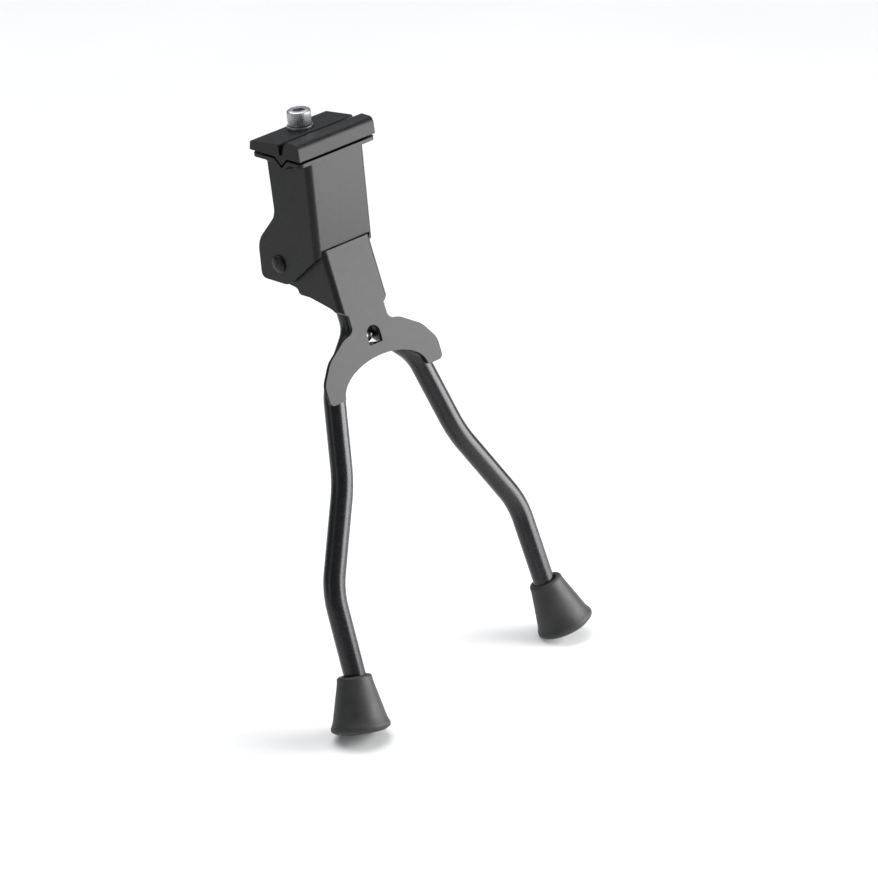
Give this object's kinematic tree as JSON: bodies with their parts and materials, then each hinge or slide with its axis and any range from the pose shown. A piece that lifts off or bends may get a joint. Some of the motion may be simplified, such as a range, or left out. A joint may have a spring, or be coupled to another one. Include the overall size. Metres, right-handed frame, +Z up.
{
  "type": "bicycle double-leg centre kickstand",
  "caption": "Bicycle centre stand: bolted chainstay clamp, folded sheet bracket, fold-up steel yoke with splayed rod legs, rubber feet and an over-centre spring.",
  "frame": {"origin": "on the clamp bolt's axis, at the flat top of the seat plate that meets the chainstays from below", "axes": "+Z up along the clamp bolt, -Y towards the front of the bicycle (the side the legs lean to), +X across the bicycle along the fold hinge"},
  "size_m": [0.1874, 0.1256, 0.3153],
  "materials": {
    "black_paint": "satin",
    "zinc": "bright zinc",
    "dark_steel": "dark oiled",
    "rubber": "matt"
  },
  "bodies": {
    "bracket": {"seat_plate": "black_paint", "bracket_channel": "black_paint", "seat_weld_left": "black_paint", "seat_weld_right": "black_paint", "clamp_nut": "dark_steel", "spring_anchor_bar": "dark_steel", "pivot_rivet_left": "dark_steel", "pivot_rivet_right": "dark_steel", "rivet_washer_left": "dark_steel", "rivet_washer_right": "dark_steel"},
    "clamp_jaw": {"upper_clamp_plate": "black_paint", "bolt_washer": "dark_steel"},
    "clamp_screw": {"clamp_bolt": "zinc"},
    "legs": {"leg_yoke": "black_paint", "leg_rod_left": "black_paint", "leg_rod_right": "black_paint", "rod_weld_left": "black_paint", "rod_weld_right": "black_paint", "rubber_foot_left": "rubber", "rubber_foot_right": "rubber"},
    "spring": {"over_centre_spring": "dark_steel"}
  },
  "joints": [
    {"name": "leg_fold", "type": "hinge", "parent": "bracket", "child": "legs", "pos_m": [0, 0.005, -0.065], "axis": [1, 0, 0], "range_deg": [0, 100]},
    {"name": "spring_swing", "type": "hinge", "parent": "bracket", "child": "spring", "pos_m": [0, 0.005, -0.052], "axis": [1, 0, 0], "range_deg": [0, 80.9]},
    {"name": "jaw_lift", "type": "slide", "parent": "bracket", "child": "clamp_jaw", "axis": [0, 0, 1], "range_m": [0, 0.02]},
    {"name": "screw_turn", "type": "hinge", "parent": "clamp_jaw", "child": "clamp_screw", "pos_m": [0, 0, 0], "axis": [0, 0, 1], "range_deg": [0, 5761]}
  ],
  "couplings": [
    {"joint": "spring_swing", "follows": "leg_fold", "ratio": 0.808},
    {"joint": "screw_turn", "follows": "jaw_lift", "rad_per_m": 5026.5}
  ]
}
